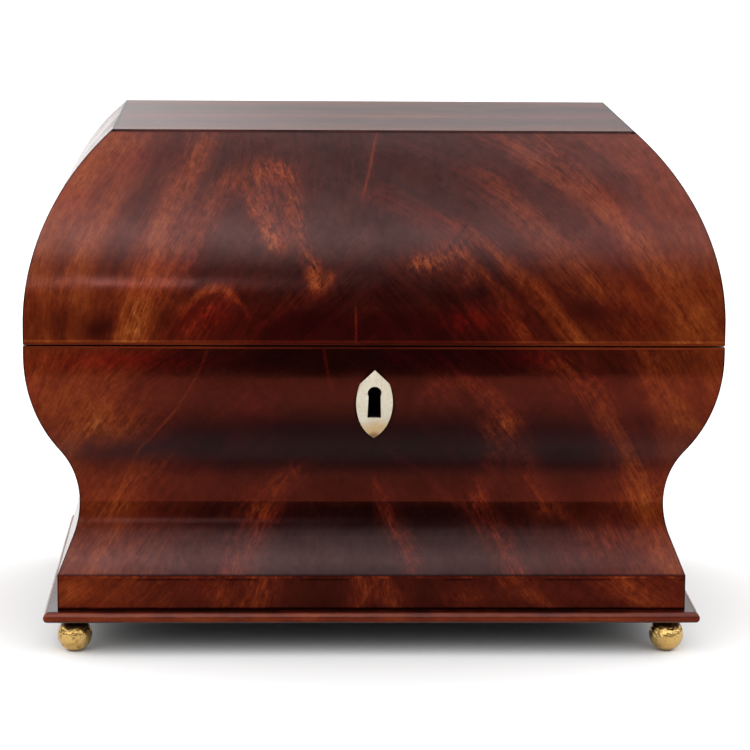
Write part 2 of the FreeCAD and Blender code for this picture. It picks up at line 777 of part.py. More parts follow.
def build():
    parts = {}

    for name, place in foot_places().items():
        parts["ball_foot_" + name] = ball_foot(place)
    holes = shank_holes()
    rim_x = base_half - moulding_width
    parts["base_board"] = cut_all(plate(rim_x, rim_x - side_shift, base_bottom, base_top), holes)
    nose = moulding_section()
    for side in SIDES:
        parts["base_moulding_" + side] = run_round(nose, side)

    parts["carcase_bottom"] = plate(inner, inner - side_shift, base_top, well_bottom)

    lock_room = list(lock_outline()) + [screw_room(*s) for s in lock_screws()]
    key_tunnel = keyhole(-half_depth - 1, case_front)
    shield = escutcheon_blank()
    housings = [partition(s) for s in (-1, 1)]

    wall = body_wall_section()
    skin = body_veneer_section()
    for side in SIDES:
        core = cut_all(run_round(wall, side), holes)
        if side == "front":
            core = cut_all(core, lock_room + [key_tunnel, shield] + housings)
        if side == "back":
            core = cut_all(core, hinge_recesses(0) + housings)
        parts["body_wall_" + side] = core
        leaf = run_round(skin, side)
        if side == "front":
            halves = leaf_halves(leaf.cut(shield).cut(key_tunnel))
            parts["body_veneer_front_left"], parts["body_veneer_front_right"] = halves
        else:
            parts["body_veneer_" + side] = cut_all(leaf, hinge_recesses(0)) if side == "back" else leaf

    bands = [run_round(plinth_veneer_section(), side) for side in SIDES]
    parts["plinth_veneer"] = Part.makeCompound(bands)
    body_facing = facing_section(body_rim - facing)
    strips = [run_round(body_facing, side) for side in SIDES]
    parts["body_rim_facing"] = Part.makeCompound(
        [cut_all(s, list(lock_outline()) + hinge_recesses(0)) for s in strips])

    for side, name in ((-1, "left"), (1, "right")):
        parts["partition_" + name] = partition(side)
        parts["foil_lining_" + name] = foil_lining(side)
        parts["compartment_lid_" + name] = compartment_lid(side)
        parts["knob_" + name] = knob(side)
        parts["hinge_leaf_body_" + name] = hinge_leaf_part(side, 0)
        parts["hinge_leaf_lid_" + name] = hinge_leaf_part(side, 1)
        parts["hinge_pin_" + name] = hinge_pin(side)
    parts["interior_ledges"] = ledges()
    parts["collar_board"] = collar_board()
    parts["glass_bowl"] = glass_bowl()

    parts["escutcheon"] = shield.cut(keyhole(-half_depth - 1, case_front))
    parts["lock_case"] = lock_case()
    parts["lock_bolt"] = lock_bolt()
    parts["lock_spring"] = lock_spring()
    parts["link_plate"] = link_plate()

    low = [screw(*s) for side in (-1, 1) for s in hinge_screws(side, 0)]
    parts["body_screws"] = Part.makeCompound(low + [screw(*s) for s in lock_screws()])
    high = [screw(*s) for side in (-1, 1) for s in hinge_screws(side, 1)]
    parts["lid_screws"] = Part.makeCompound(high + [screw(*s) for s in link_screws()])

    lid_wall = lid_wall_section()
    lid_skin = lid_veneer_section()
    link_room = [link_plate_block()] + [screw_room(*s) for s in link_screws()]
    for side in SIDES:
        core = run_round(lid_wall, side)
        if side == "front":
            core = cut_all(core, link_room)
        if side == "back":
            core = cut_all(core, hinge_recesses(1))
        parts["lid_wall_" + side] = core
        leaf = run_round(lid_skin, side)
        if side == "front":
            parts["lid_veneer_front_left"], parts["lid_veneer_front_right"] = leaf_halves(leaf)
        else:
            parts["lid_veneer_" + side] = cut_all(leaf, hinge_recesses(1)) if side == "back" else leaf
    panel_half, lining_half = cove_head() + panel_rebate, cove_head()
    parts["lid_top_panel"] = plate(panel_half, panel_half - side_shift, panel_bottom, core_top)
    parts["lid_veneer_top"] = lid_top_veneer()
    parts["lid_lining"] = plate(lining_half, lining_half - side_shift, panel_bottom - lining, panel_bottom)
    lid_facing = facing_section(lid_rim)
    strips = [run_round(lid_facing, side) for side in SIDES]
    parts["lid_rim_facing"] = Part.makeCompound(
        [cut_all(s, [link_plate_block()] + hinge_recesses(1)) for s in strips])
    return parts


os.makedirs("parts", exist_ok=True)
for name, shape in build().items():
    for solid in shape.Solids:
        assert solid.isValid() and solid.Volume > 0, name
    shape.exportStep("parts/" + name + ".step")
    print(name, len(shape.Solids), round(sum(s.Volume for s in shape.Solids), 1))
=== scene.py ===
import math

import bpy
from mathutils import Matrix, Vector

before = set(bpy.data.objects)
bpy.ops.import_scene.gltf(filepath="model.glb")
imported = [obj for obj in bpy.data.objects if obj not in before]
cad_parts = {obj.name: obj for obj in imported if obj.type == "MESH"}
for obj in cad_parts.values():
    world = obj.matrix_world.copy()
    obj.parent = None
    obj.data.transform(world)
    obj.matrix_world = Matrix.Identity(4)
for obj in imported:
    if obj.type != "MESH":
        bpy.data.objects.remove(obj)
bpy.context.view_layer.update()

scene = bpy.context.scene
scene.view_settings.view_transform = "Standard"


# Camera

camera_place = Vector((-0.0481, -1.5707, 0.4053))
camera_pitch = math.radians(10.34)
camera_yaw = math.radians(1.892)
camera_roll = math.radians(0.458)
camera_lens = 151.2


def make_camera():
    forward = Vector((
        math.sin(camera_yaw) * math.cos(camera_pitch),
        math.cos(camera_yaw) * math.cos(camera_pitch),
        -math.sin(camera_pitch),
    ))
    right = Vector((math.cos(camera_yaw), -math.sin(camera_yaw), 0.0))
    up = right.cross(forward)
    rolled_right = right * math.cos(camera_roll) + up * math.sin(camera_roll)
    rolled_up = up * math.cos(camera_roll) - right * math.sin(camera_roll)
    data = bpy.data.cameras.new("camera")
    data.sensor_width = 36.0
    data.lens = camera_lens
    data.clip_start = 0.05
    data.clip_end = 200.0
    obj = bpy.data.objects.new("camera", data)
    scene.collection.objects.link(obj)
    turn = Matrix((rolled_right, rolled_up, -forward)).transposed()
    obj.matrix_world = Matrix.Translation(camera_place) @ turn.to_4x4()
    scene.camera = obj


# Numbers worked out at each point of a surface

class Field:
    def __init__(self, tree, socket):
        self.tree = tree
        self.socket = socket

    def do(self, operation, *others, clamp=False):
        node = self.tree.nodes.new("ShaderNodeMath")
        node.operation = operation
        node.use_clamp = clamp
        for slot, value in zip(node.inputs, (self,) + others):
            if isinstance(value, Field):
                self.tree.links.new(value.socket, slot)
            else:
                slot.default_value = value
        return Field(self.tree, node.outputs[0])

    def __add__(self, other):
        return self.do("ADD", other)

    def __radd__(self, other):
        return self.do("ADD", other)

    def __sub__(self, other):
        return self.do("SUBTRACT", other)

    def __rsub__(self, other):
        return (self * -1.0).do("ADD", other)

    def __mul__(self, other):
        return self.do("MULTIPLY", other)

    def __rmul__(self, other):
        return self.do("MULTIPLY", other)

    def __truediv__(self, other):
        return self.do("DIVIDE", other)

    def step(self, low, high):
        """Zero below low and one above high, smooth between; low may be the larger."""
        node = self.tree.nodes.new("ShaderNodeMapRange")
        node.interpolation_type = "SMOOTHSTEP"
        self.tree.links.new(self.socket, node.inputs["Value"])
        flip = low > high
        node.inputs["From Min"].default_value = min(low, high)
        node.inputs["From Max"].default_value = max(low, high)
        node.inputs["To Min"].default_value = 1.0 if flip else 0.0
        node.inputs["To Max"].default_value = 0.0 if flip else 1.0
        return Field(self.tree, node.outputs["Result"])

    def bell(self, middle, width):
        """One at middle, falling smoothly to nothing on both sides."""
        away = (self - middle) * (1.0 / width)
        return (away * away * -1.0).do("EXPONENT")


def separate(tree, socket):
    node = tree.nodes.new("ShaderNodeSeparateXYZ")
    tree.links.new(socket, node.inputs[0])
    return [Field(tree, out) for out in node.outputs]


def combine(tree, *values):
    node = tree.nodes.new("ShaderNodeCombineXYZ")
    for slot, value in zip(node.inputs, values):
        if isinstance(value, Field):
            tree.links.new(value.socket, slot)
        else:
            slot.default_value = value
    return node.outputs[0]


def noise(tree, vector, scale, detail=3.0, rough=0.55, warp=0.0):
    node = tree.nodes.new("ShaderNodeTexNoise")
    node.noise_dimensions = "3D"
    tree.links.new(vector, node.inputs["Vector"])
    node.inputs["Scale"].default_value = scale
    node.inputs["Detail"].default_value = detail
    node.inputs["Roughness"].default_value = rough
    node.inputs["Distortion"].default_value = warp
    return Field(tree, node.outputs["Fac"])


def ramp(tree, value, stops):
    node = tree.nodes.new("ShaderNodeValToRGB")
    tree.links.new(value.socket, node.inputs[0])
    elements = node.color_ramp.elements
    while len(elements) > 1:
        elements.remove(elements[-1])
    for number, (place, colour) in enumerate(stops):
        element = elements[0] if number == 0 else elements.new(place)
        element.position = place
        element.color = (*colour, 1.0)
    return node.outputs[0]


def mix(tree, amount, first, second, kind="MIX"):
    node = tree.nodes.new("ShaderNodeMix")
    node.data_type = "RGBA"
    node.blend_type = kind
    for name, value in (("Factor", amount), ("A", first), ("B", second)):
        kinds = ("VALUE",) if name == "Factor" else ("RGBA",)
        slot = next(i for i in node.inputs if i.name == name and i.type in kinds)
        if isinstance(value, Field):
            tree.links.new(value.socket, slot)
        elif isinstance(value, bpy.types.NodeSocket):
            tree.links.new(value, slot)
        elif name == "Factor":
            slot.default_value = value
        else:
            slot.default_value = (*value, 1.0)
    return next(o for o in node.outputs if o.type == "RGBA")


def tint(red, green, blue):
    """A colour given as the numbers of a picture, 0 to 255."""
    def straight(value):
        part = value / 255.0
        return part / 12.92 if part <= 0.04045 else ((part + 0.055) / 1.055) ** 2.4
    return (straight(red), straight(green), straight(blue))


# Studio: a pale tent of light all round from 10 degrees up, and the dark room under it

floor_white = 0.84
floor_bounce = 0.50
card_edge = -0.43
card_reach = 6.0


def make_world():
    world = bpy.data.worlds.new("studio")
    scene.world = world
    world.use_nodes = True
    tree = world.node_tree
    tree.nodes.clear()
    place = tree.nodes.new("ShaderNodeTexCoord")
    x, y, z = separate(tree, place.outputs["Generated"])
    degrees = 180.0 / math.pi
    height = z.do("ARCSINE") * degrees
    turn = x.do("ARCTAN2", y * -1.0) * degrees
    behind = x.do("ARCTAN2", y) * degrees
    round_back = behind.do("ABSOLUTE")

    tent_heights = [(6, 0.0), (11, 0.35), (16, 1.3), (25, 1.95), (33, 2.4), (42, 2.4), (55, 2.1),
                    (67, 1.75), (82, 1.4), (90, 1.3)]
    front_heights = [(12, 0.0), (16, 0.1), (19, 0.4), (23, 1.0), (27, 1.6), (31, 2.1), (35, 2.3),
                     (40, 1.9), (48, 1.5), (58, 1.15), (68, 0.95), (80, 0.8), (90, 0.8)]
    brightest = 2.4
    shades = [Field(tree, ramp(tree, height * (1.0 / 90.0),
                               [(h / 90.0, (v / brightest,) * 3) for h, v in heights])) * brightest
              for heights in (tent_heights, front_heights)]
    tent = shades[0] * (1.0 - round_back.step(80.0, 20.0) * 0.35)
    leftward = (1.09 - turn * 0.065).do("MAXIMUM", 0.6).do("MINIMUM", 1.2)
    front = turn.do("ABSOLUTE").step(17.0, 12.0)
    tent = tent * (1.0 - front) + shades[1] * leftward * front
    low_back = height.step(0.0, 3.0) * height.step(26.0, 14.0) * round_back.step(75.0, 40.0)
    low_back = low_back * (0.30 + behind.step(2.0, -5.0) * 0.36)
    window = turn.bell(-3.2, 0.9) * height.bell(11.3, 1.5) * 20.0
    total = tent + low_back + window + 0.03
    glow = tree.nodes.new("ShaderNodeBackground")
    tree.links.new(total.socket, glow.inputs["Color"])
    glow.inputs["Strength"].default_value = 1.0
    out = tree.nodes.new("ShaderNodeOutputWorld")
    tree.links.new(glow.outputs[0], out.inputs["Surface"])


def sheet(name, x0, x1, y0, y1, z):
    mesh = bpy.data.meshes.new(name)
    mesh.from_pydata([(x0, y0, z), (x1, y0, z), (x1, y1, z), (x0, y1, z)], [], [(0, 1, 2, 3)])
    obj = bpy.data.objects.new(name, mesh)
    scene.collection.objects.link(obj)
    return obj


def make_card():
    """Dark card that only the polish reflects, below the picture, where the table ended."""
    obj = sheet("dark_card", -card_reach, card_reach, -14.0, card_edge, 0.001)
    material, tree, shader = new_material("dark_card")
    shader.inputs["Base Color"].default_value = (0.02, 0.02, 0.02, 1.0)
    shader.inputs["Roughness"].default_value = 0.9
    shader.inputs["Specular IOR Level"].default_value = 0.0
    obj.data.materials.append(material)
    for rays in ("camera", "diffuse", "transmission", "volume_scatter", "shadow"):
        setattr(obj, "visible_" + rays, False)


def make_floor():
    half = 30.0
    obj = sheet("floor", -half, half, -half, half, 0.0)
    material, tree, shader = new_material("floor")
    ray = tree.nodes.new("ShaderNodeLightPath")
    seen = Field(tree, ray.outputs["Is Camera Ray"]) + Field(tree, ray.outputs["Is Glossy Ray"])
    seen = (seen + Field(tree, ray.outputs["Is Transmission Ray"])).do("MINIMUM", 1.0)
    colour = mix(tree, seen, (floor_bounce,) * 3, (floor_white,) * 3)
    tree.links.new(colour, shader.inputs["Base Color"])
    shader.inputs["Roughness"].default_value = 0.9
    shader.inputs["Specular IOR Level"].default_value = 0.0
    obj.data.materials.append(material)


# Materials

def new_material(name):
    material = bpy.data.materials.new(name)
    material.use_nodes = True
    tree = material.node_tree
    tree.nodes.clear()
    shader = tree.nodes.new("ShaderNodeBsdfPrincipled")
    out = tree.nodes.new("ShaderNodeOutputMaterial")
    tree.links.new(shader.outputs[0], out.inputs["Surface"])
    return material, tree, shader


def point_mm(tree):
    node = tree.nodes.new("ShaderNodeTexCoord")
    return [value * 1000.0 for value in separate(tree, node.outputs["Object"])]


def bump(tree, shader, height, distance, strength=1.0):
    node = tree.nodes.new("ShaderNodeBump")
    node.inputs["Strength"].default_value = strength
    node.inputs["Distance"].default_value = distance
    tree.links.new(height.socket, node.inputs["Height"])
    tree.links.new(node.outputs[0], shader.inputs["Normal"])


def polish(tree, shader, strength=None):
    """Gloss of old shellac: dark red, with a greyish bloom where the surface faces up."""
    node = tree.nodes.new("ShaderNodeTexCoord")
    upward = separate(tree, node.outputs["Normal"])[2]
    shade = mix(tree, upward.step(-0.46, -0.24), polish_under, polish_clear)
    shade = mix(tree, upward.step(0.0, 0.32), shade, polish_bloom)
    if strength:
        shade = mix(tree, strength, (0.0, 0.0, 0.0), shade)
    tree.links.new(shade, shader.inputs["Specular Tint"])
    shader.inputs["Specular IOR Level"].default_value = polish_level


polish_level = 0.55
polish_under = (0.20, 0.0, 0.0)
polish_clear = (1.0, 0.16, 0.09)
polish_bloom = (1.0, 0.62, 0.60)
polish_roughness = 0.16
veneer_colours = [
    (0.00, tint(14, 3, 2)),
    (0.12, tint(32, 7, 5)),
    (0.27, tint(60, 17, 9)),
    (0.42, tint(92, 34, 14)),
    (0.57, tint(120, 54, 22)),
    (0.72, tint(148, 78, 36)),
    (0.87, tint(178, 106, 58)),
    (1.00, tint(202, 136, 84)),
]
crimson_colours = [
    (0.00, tint(22, 2, 4)),
    (0.15, tint(48, 5, 6)),
    (0.35, tint(92, 14, 10)),
    (0.60, tint(140, 42, 24)),
    (1.00, tint(196, 100, 70)),
]


def solve(rows, targets):
    """Least squares by the normal equations, for a handful of unknowns."""
    count = len(rows[0])
    table = [[sum(r[i] * r[j] for r in rows) + (1e-3 if i == j else 0.0) for j in range(count)]
             + [sum(r[i] * t for r, t in zip(rows, targets))] for i in range(count)]
    for i in range(count):
        pivot = max(range(i, count), key=lambda k: abs(table[k][i]))
        table[i], table[pivot] = table[pivot], table[i]
        for k in range(count):
            if k != i:
                share = table[k][i] / table[i][i]
                table[k] = [p - share * q for p, q in zip(table[k], table[i])]
    return [table[i][count] / table[i][i] for i in range(count)]


def through(points, place):
    """Quadratic through three points: x from z, or z from x, as three factors about a middle."""
    first = [p[place] for p in points]
    other = [p[1 - place] for p in points]
    middle = first[1]
    a, b, c = (v - middle for v in first)
    top = other[0] * b * c / ((a - b) * (a - c)), other[1] * a * c / ((b - a) * (b - c))
    last = other[2] * a * b / ((c - a) * (c - b))
    constant = top[0] + top[1] + last
    linear = -(other[0] * (b + c) / ((a - b) * (a - c)) + other[1] * (a + c) / ((b - a) * (b - c))
               + other[2] * (a + b) / ((c - a) * (c - b)))
    square = (other[0] / ((a - b) * (a - c)) + other[1] / ((b - a) * (b - c))
              + other[2] / ((c - a) * (c - b)))
    return middle, constant, linear, square


streak_spread = 1.45
streak_share = 0.80


class Streak:
    """A band of lighter or darker tone that runs through three places, given as x and z: figure in the wood, and
    in one band under the bulge painted shade.
    """

    def __init__(self, points, width, strength, red=0.0, soft=9.0):
        self.points = points
        self.width = width
        self.strength = strength
        self.red = red
        self.soft = soft

    def shape(self, x, z):
        xs = [p[0] for p in self.points]
        zs = [p[1] for p in self.points]
        upright = max(zs) - min(zs) >= 0.7 * (max(xs) - min(xs))
        along, across, values = (z, x, zs) if upright else (x, z, xs)
        middle, constant, linear, square = through(self.points, 1 if upright else 0)
        away = along - middle
        line = (away * square + linear) * away + constant
        low, high = min(values), max(values)
        width = self.width if self.width < 1.5 else self.width * streak_spread
        band = across.do("SUBTRACT", line).bell(0.0, width)
        ends = along.step(low - self.soft, low + 0.3 * self.soft) * along.step(
            high + self.soft, high - 0.3 * self.soft)
        return band * ends


class Patch:
    """A rounded area of lighter or darker tone: figure in the wood, and in one patch under the bulge also painted
    shade.
    """

    def __init__(self, place, radii, strength, red=0.0):
        self.place = place
        self.radii = radii
        self.strength = strength
        self.red = red

    def shape(self, x, z):
        across = (x - self.place[0]) * (1.0 / self.radii[0])
        up = (z - self.place[1]) * (1.0 / self.radii[1])
        return ((across * across + up * up) * -1.0).do("EXPONENT")


def grain_course(streaks, middle):
    """Factors of a smooth field that stays level along the streaks, so the grain follows them."""
    def terms(point):
        x, z = point[0] / 165.0, (point[1] - middle) / 50.0
        return [z, x * z, z * z, x * z * z]

    rows, targets = [], []
    for streak in streaks:
        for one, two in zip(streak.points, streak.points[1:]):
            rows.append([a - b for a, b in zip(terms(one), terms(two))])
            targets.append((two[0] - one[0]) / 165.0)
    return solve(rows, targets)


def grain_field(x, z, factors, middle):
    across, up = x * (1.0 / 165.0), (z - middle) * (1.0 / 50.0)
    a, b, c, d = factors
    return (((across * d + c) * up + across * b + a) * up + across) * 165.0


lid_left = {
    "middle": 200.0,
    "base": [(-160, 0.44), (-134, 0.42), (-112, 0.37), (-92, 0.27), (-70, 0.21), (-48, 0.16), (0, 0.15)],
    "streaks": [
        Streak([(-121, 248), (-152, 213), (-163, 186)], 9.0, 0.10),
        Streak([(-117, 238), (-134, 213), (-147, 190)], 4.0, -0.07),
        Streak([(-112, 243), (-128, 213), (-144, 182)], 4.5, 0.10),
        Streak([(-103, 242), (-114, 213), (-123, 188)], 6.5, -0.09),
        Streak([(-78, 247), (-99, 202), (-117, 158)], 5.5, 0.21),
        Streak([(-73, 240), (-89, 207), (-104, 172)], 4.0, -0.08),
        Streak([(-68, 231), (-82, 209), (-110, 157)], 6.0, 0.20),
        Streak([(-64, 222), (-79, 190), (-88, 177)], 5.0, -0.05),
    ],
    "marks": [
        Streak([(-69, 178), (-77, 171), (-90, 158)], 7.5, 0.14, 0.4),
        Streak([(-86, 175), (-74, 180), (-64, 174)], 1.8, 0.28),
        Patch((-64, 176), (3.5, 3.0), -0.14),
        Streak([(-80, 174), (-88, 167), (-95, 158)], 2.0, -0.12),
        Streak([(-21, 181), (-39, 171), (-59, 158)], 4.5, 0.10),
        Streak([(-28, 170), (-42, 163), (-56, 157)], 4.0, -0.06),
        Patch((-129, 161), (8, 6), -0.26),
        Patch((-100, 166), (6, 9), -0.16),
        Patch((-80, 167), (12, 7), 0.05, 0.45),
        Patch((-149, 164), (8, 6), -0.08),
        Patch((-140, 175), (9, 5), 0.06),
        Patch((-46, 216), (16, 18), 0.04),
        Patch((-30, 163), (44, 12), -0.05, 0.7),
        Patch((-4, 222), (5, 3.5), 0.14, 0.3),
        Streak([(1, 248), (-2, 236), (-5, 225)], 0.8, 0.20),
        Streak([(-9, 168), (-9, 162), (-9, 156)], 0.6, 0.20),
    ],
    "crotch": [
        Patch((-48, 234), (9.5, 5.0), 0.62),
        Streak([(-62, 224), (-55, 213), (-46, 200)], 3.2, 0.44),
        Streak([(-53, 229), (-50, 218), (-46, 201)], 3.8, 0.44),
        Streak([(-41, 229), (-36, 207), (-27, 182)], 3.2, 0.46),
        Patch((-27, 187), (3.2, 7.5), 0.50),
        Patch((-20, 186), (2.2, 4.5), 0.40),
    ],
}
lid_right = {
    "middle": 200.0,
    "base": [(0, 0.14), (14, 0.15), (35, 0.15), (57, 0.20), (79, 0.27), (100, 0.31), (120, 0.35),
             (145, 0.41), (160, 0.42)],
    "streaks": [
        Streak([(44, 207), (61, 193), (94, 156)], 3.6, 0.24),
        Streak([(41, 194), (56, 182), (70, 159)], 4.2, 0.20),
        Streak([(52, 192), (64, 178), (72, 165)], 2.2, -0.08),
        Streak([(51, 233), (80, 205), (117, 173)], 9.0, 0.14),
        Streak([(59, 239), (101, 206), (138, 159)], 5.0, -0.10),
        Streak([(58, 248), (106, 218), (148, 157)], 9.0, 0.15),
        Streak([(100, 242), (129, 210), (148, 175)], 5.0, -0.07),
    ],
    "marks": [
        Streak([(-8, 224), (12, 217), (36, 210)], 3.4, 0.13, 0.3),
        Streak([(1, 248), (-2, 236), (-5, 225)], 0.8, 0.20),
        Streak([(70, 246), (112, 213), (149, 160)], 0.8, -0.06),
        Streak([(77, 249), (82, 245), (86, 240)], 0.7, 0.12, soft=2.0),
        Streak([(33, 197), (38, 203), (42, 208)], 1.2, -0.10, soft=2.0),
        Streak([(37, 194), (41, 200), (46, 206)], 1.0, -0.09, soft=2.0),
        Patch((44, 166), (12, 6), 0.15, 0.6),
        Patch((24, 163), (44, 12), -0.04, 0.6),
        Patch((50, 179), (9, 4), -0.08),
        Patch((97, 170), (17, 6), -0.14),
    ],
    "crotch": [
        Patch((22, 192), (12, 5.5), 0.75),
        Patch((38, 199), (10, 6.0), 0.50),
        Patch((42, 184), (7, 5), 0.35),
    ],
}
body_left = {
    "middle": 95.0,
    "base": [(-158, 0.43), (-135, 0.38), (-112, 0.30), (-90, 0.18), (-68, 0.10), (-45, 0.05), (0, 0.02)],
    "streaks": [
        Streak([(-118, 140), (-130, 120), (-142, 100)], 5.0, 0.08),
        Streak([(-97, 100), (-112, 84), (-124, 68)], 6.0, 0.15),
        Streak([(-39, 91), (-47, 81), (-56, 68)], 7.0, 0.30),
        Streak([(-53, 66), (-61, 53), (-69, 29)], 7.0, 0.22, 0.2),
        Streak([(-125, 57), (-131, 48), (-135, 40)], 3.0, 0.08),
    ],
    "marks": [
        Streak([(-79, 150), (-96, 119), (-111, 101)], 0.8, 0.13),
        Streak([(-111, 101), (-119, 84), (-126, 66)], 1.2, 0.10),
        Patch((-143, 118), (22, 26), 0.08),
        Patch((-124, 114), (14, 11), 0.20),
        Patch((-115, 146), (45, 5), 0.0, 0.9),
        Patch((-56, 122), (13, 7), 0.08, 0.3),
        Patch((-28, 112), (20, 6), -0.10),
        # Dark band where the bulge turns under on the left: painted shade.
        Streak([(-137, 99), (-108, 101), (-75, 104)], 4.5, -0.20),
        Streak([(-39, 92), (-34, 81), (-28, 70)], 0.8, 0.08),
        Streak([(-24, 150), (-23, 144), (-21, 135)], 0.8, 0.14, 1.0),
        Patch((-90, 50), (60, 14), 0.06),
    ],
    "crotch": [],
}
body_right = {
    "middle": 95.0,
    "base": [(0, 0.02), (35, 0.03), (57, 0.08), (78, 0.15), (100, 0.22), (122, 0.28), (145, 0.38),
             (160, 0.41)],
    "streaks": [
        Streak([(62, 117), (73, 92), (88, 68)], 5.0, 0.22),
        Streak([(51, 75), (60, 57), (74, 37)], 5.0, 0.22, 0.2),
        Streak([(82, 149), (107, 122), (132, 74)], 6.5, 0.22),
        Streak([(132, 74), (142, 55), (149, 40)], 6.0, 0.09),
        Streak([(112, 141), (126, 117), (138, 92)], 4.5, -0.10),
        Streak([(127, 149), (141, 127), (151, 113)], 4.5, 0.14),
        Streak([(1, 83), (10, 66), (21, 40)], 4.4, 0.30, 0.2),
    ],
    "marks": [
        Streak([(27, 133), (47, 131), (62, 117)], 5.5, 0.26),
        Streak([(49, 135), (62, 127), (67, 114)], 3.5, 0.10),
        Streak([(54, 114), (57, 98), (51, 74)], 4.2, 0.20),
        Streak([(88, 149), (113, 122), (136, 76)], 0.9, -0.07),
        Streak([(13, 97), (32, 81), (43, 70)], 2.0, 0.10),
        Streak([(24, 75), (33, 75), (41, 72)], 1.2, 0.08),
        # Darker patch where the bulge turns under on the right: darker wood and painted shade.
        Patch((97, 95), (18, 22), -0.20),
        Patch((128, 52), (20, 8), 0.07),
        Patch((38, 53), (7, 7), -0.05),
        Patch((110, 58), (16, 5), 0.06),
        Patch((20, 147), (28, 5), 0.0, 1.0),
        Patch((66, 148), (20, 4), 0.0, 0.6),
        Patch((60, 50), (50, 12), 0.05),
    ],
    "crotch": [],
}
base_top = 22.0
plinth_top = 38.9
body_rim = 152.7
lid_rim = 153.5
lid_top = 250.6
top_half_x = 124.4
top_half_y = 73.4
escutcheon_middle = 124.2
plinth_band = [
    Patch((-146, 30), (11, 6), 0.18), Patch((-74, 30), (6, 8), 0.18),
    Streak([(-50, 38), (-53, 30), (-56, 24)], 6.0, 0.22),
    Streak([(-6, 38), (-4, 30), (-7, 24)], 3.5, 0.26), Streak([(4, 38), (8, 30), (12, 24)], 5.0, 0.28),
    Patch((46, 27), (8, 5), 0.18), Streak([(69, 38), (76, 30), (84, 24)], 5.0, 0.22),
    Streak([(118, 38), (126, 31), (137, 24)], 7.0, 0.22), Patch((105, 31), (50, 12), 0.05),
    Patch((-28, 31), (12, 9), -0.06), Patch((26, 31), (9, 9), -0.05),
]


def base_tone(tree, across, stops):
    low, high = stops[0][0], stops[-1][0]
    placed = (across - low) * (1.0 / (high - low))
    return Field(tree, ramp(tree, placed, [((p - low) / (high - low), (v, v, v)) for p, v in stops]))


